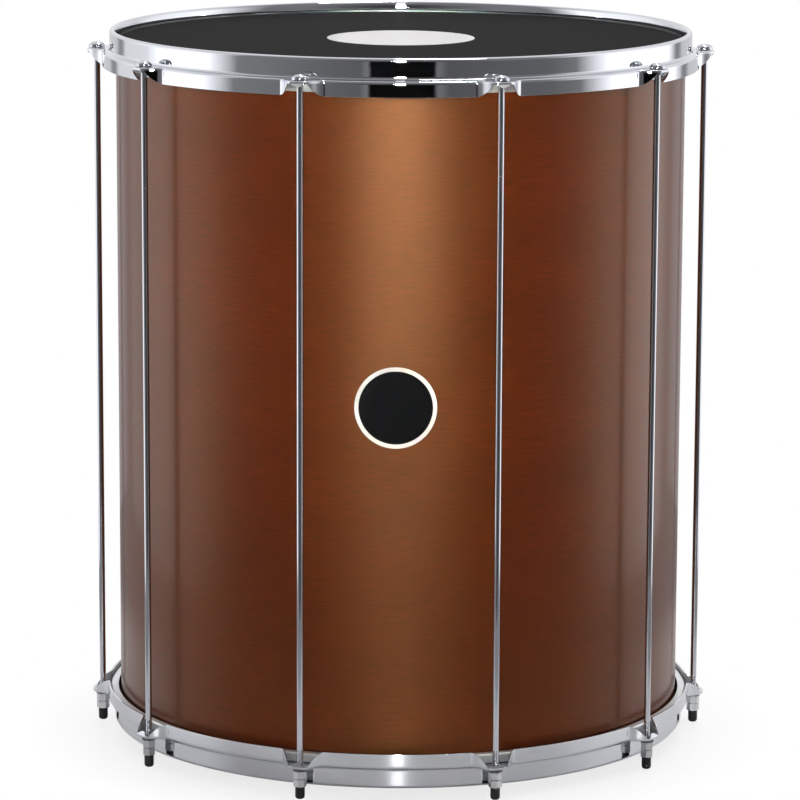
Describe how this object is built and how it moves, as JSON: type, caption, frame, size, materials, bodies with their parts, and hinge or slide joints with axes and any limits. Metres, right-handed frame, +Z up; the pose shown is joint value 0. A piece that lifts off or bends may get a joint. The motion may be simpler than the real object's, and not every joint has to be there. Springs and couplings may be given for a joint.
{
  "type": "surdo",
  "caption": "Low samba drum: wooden shell, black film heads and pressed metal hoops joined by long rods, standing on the rods' rubber feet.",
  "frame": {"origin": "on the drum's axis, on the floor under the rubber feet", "axes": "+Z up along the drum's axis, the badge looks toward -Y, +X to the right seen from the front"},
  "size_m": [0.56, 0.536, 0.638],
  "materials": {
    "shell_wood": "reddish brown stained ply under satin lacquer, fine level grain",
    "hoop_chrome": "polished chrome plate",
    "rod_chrome": "chrome plate",
    "nut_chrome": "dull chrome plate",
    "washer_steel": "dark steel",
    "flesh_metal": "satin",
    "head_film": "black film with a fine leather-like grain",
    "foot_rubber": "matte black",
    "badge_enamel": "glossy black with a light raised border"
  },
  "bodies": {
    "drum": {"shell": "shell_wood", "top_head": "head_film", "bottom_head": "head_film", "top_flesh_hoop": "flesh_metal", "bottom_flesh_hoop": "flesh_metal", "top_hoop": "hoop_chrome", "bottom_hoop": "hoop_chrome", "badge": "badge_enamel", "tension_rod_01": "rod_chrome", "tension_rod_02": "rod_chrome", "tension_rod_03": "rod_chrome", "tension_rod_04": "rod_chrome", "tension_rod_05": "rod_chrome", "tension_rod_06": "rod_chrome", "tension_rod_07": "rod_chrome", "tension_rod_08": "rod_chrome", "tension_rod_09": "rod_chrome", "tension_rod_10": "rod_chrome", "washer_01": "washer_steel", "washer_02": "washer_steel", "washer_03": "washer_steel", "washer_04": "washer_steel", "washer_05": "washer_steel", "washer_06": "washer_steel", "washer_07": "washer_steel", "washer_08": "washer_steel", "washer_09": "washer_steel", "washer_10": "washer_steel", "rubber_foot_01": "foot_rubber", "rubber_foot_02": "foot_rubber", "rubber_foot_03": "foot_rubber", "rubber_foot_04": "foot_rubber", "rubber_foot_05": "foot_rubber", "rubber_foot_06": "foot_rubber", "rubber_foot_07": "foot_rubber", "rubber_foot_08": "foot_rubber", "rubber_foot_09": "foot_rubber", "rubber_foot_10": "foot_rubber"},
    "tuning_nut_01": {"tuning_nut_01": "nut_chrome"},
    "tuning_nut_02": {"tuning_nut_02": "nut_chrome"},
    "tuning_nut_03": {"tuning_nut_03": "nut_chrome"},
    "tuning_nut_04": {"tuning_nut_04": "nut_chrome"},
    "tuning_nut_05": {"tuning_nut_05": "nut_chrome"},
    "tuning_nut_06": {"tuning_nut_06": "nut_chrome"},
    "tuning_nut_07": {"tuning_nut_07": "nut_chrome"},
    "tuning_nut_08": {"tuning_nut_08": "nut_chrome"},
    "tuning_nut_09": {"tuning_nut_09": "nut_chrome"},
    "tuning_nut_10": {"tuning_nut_10": "nut_chrome"},
    "lock_nut_01": {"lock_nut_01": "nut_chrome"},
    "lock_nut_02": {"lock_nut_02": "nut_chrome"},
    "lock_nut_03": {"lock_nut_03": "nut_chrome"},
    "lock_nut_04": {"lock_nut_04": "nut_chrome"},
    "lock_nut_05": {"lock_nut_05": "nut_chrome"},
    "lock_nut_06": {"lock_nut_06": "nut_chrome"},
    "lock_nut_07": {"lock_nut_07": "nut_chrome"},
    "lock_nut_08": {"lock_nut_08": "nut_chrome"},
    "lock_nut_09": {"lock_nut_09": "nut_chrome"},
    "lock_nut_10": {"lock_nut_10": "nut_chrome"}
  },
  "joints": [
    {"name": "tuning_nut_01_turn", "type": "hinge", "parent": "drum", "child": "tuning_nut_01", "pos_m": [0.08387, -0.25812, 0.0213], "axis": [0, 0, 1], "continuous": true},
    {"name": "tuning_nut_02_turn", "type": "hinge", "parent": "drum", "child": "tuning_nut_02", "pos_m": [0.21957, -0.15953, 0.0213], "axis": [0, 0, 1], "continuous": true},
    {"name": "tuning_nut_03_turn", "type": "hinge", "parent": "drum", "child": "tuning_nut_03", "pos_m": [0.2714, 0, 0.0213], "axis": [0, 0, 1], "continuous": true},
    {"name": "tuning_nut_04_turn", "type": "hinge", "parent": "drum", "child": "tuning_nut_04", "pos_m": [0.21957, 0.15953, 0.0213], "axis": [0, 0, 1], "continuous": true},
    {"name": "tuning_nut_05_turn", "type": "hinge", "parent": "drum", "child": "tuning_nut_05", "pos_m": [0.08387, 0.25812, 0.0213], "axis": [0, 0, 1], "continuous": true},
    {"name": "tuning_nut_06_turn", "type": "hinge", "parent": "drum", "child": "tuning_nut_06", "pos_m": [-0.08387, 0.25812, 0.0213], "axis": [0, 0, 1], "continuous": true},
    {"name": "tuning_nut_07_turn", "type": "hinge", "parent": "drum", "child": "tuning_nut_07", "pos_m": [-0.21957, 0.15953, 0.0213], "axis": [0, 0, 1], "continuous": true},
    {"name": "tuning_nut_08_turn", "type": "hinge", "parent": "drum", "child": "tuning_nut_08", "pos_m": [-0.2714, 0, 0.0213], "axis": [0, 0, 1], "continuous": true},
    {"name": "tuning_nut_09_turn", "type": "hinge", "parent": "drum", "child": "tuning_nut_09", "pos_m": [-0.21957, -0.15953, 0.0213], "axis": [0, 0, 1], "continuous": true},
    {"name": "tuning_nut_10_turn", "type": "hinge", "parent": "drum", "child": "tuning_nut_10", "pos_m": [-0.08387, -0.25812, 0.0213], "axis": [0, 0, 1], "continuous": true},
    {"name": "lock_nut_01_turn", "type": "hinge", "parent": "drum", "child": "lock_nut_01", "pos_m": [0.08387, -0.25812, 0.0144], "axis": [0, 0, 1], "continuous": true},
    {"name": "lock_nut_02_turn", "type": "hinge", "parent": "drum", "child": "lock_nut_02", "pos_m": [0.21957, -0.15953, 0.0144], "axis": [0, 0, 1], "continuous": true},
    {"name": "lock_nut_03_turn", "type": "hinge", "parent": "drum", "child": "lock_nut_03", "pos_m": [0.2714, 0, 0.0144], "axis": [0, 0, 1], "continuous": true},
    {"name": "lock_nut_04_turn", "type": "hinge", "parent": "drum", "child": "lock_nut_04", "pos_m": [0.21957, 0.15953, 0.0144], "axis": [0, 0, 1], "continuous": true},
    {"name": "lock_nut_05_turn", "type": "hinge", "parent": "drum", "child": "lock_nut_05", "pos_m": [0.08387, 0.25812, 0.0144], "axis": [0, 0, 1], "continuous": true},
    {"name": "lock_nut_06_turn", "type": "hinge", "parent": "drum", "child": "lock_nut_06", "pos_m": [-0.08387, 0.25812, 0.0144], "axis": [0, 0, 1], "continuous": true},
    {"name": "lock_nut_07_turn", "type": "hinge", "parent": "drum", "child": "lock_nut_07", "pos_m": [-0.21957, 0.15953, 0.0144], "axis": [0, 0, 1], "continuous": true},
    {"name": "lock_nut_08_turn", "type": "hinge", "parent": "drum", "child": "lock_nut_08", "pos_m": [-0.2714, 0, 0.0144], "axis": [0, 0, 1], "continuous": true},
    {"name": "lock_nut_09_turn", "type": "hinge", "parent": "drum", "child": "lock_nut_09", "pos_m": [-0.21957, -0.15953, 0.0144], "axis": [0, 0, 1], "continuous": true},
    {"name": "lock_nut_10_turn", "type": "hinge", "parent": "drum", "child": "lock_nut_10", "pos_m": [-0.08387, -0.25812, 0.0144], "axis": [0, 0, 1], "continuous": true}
  ]
}
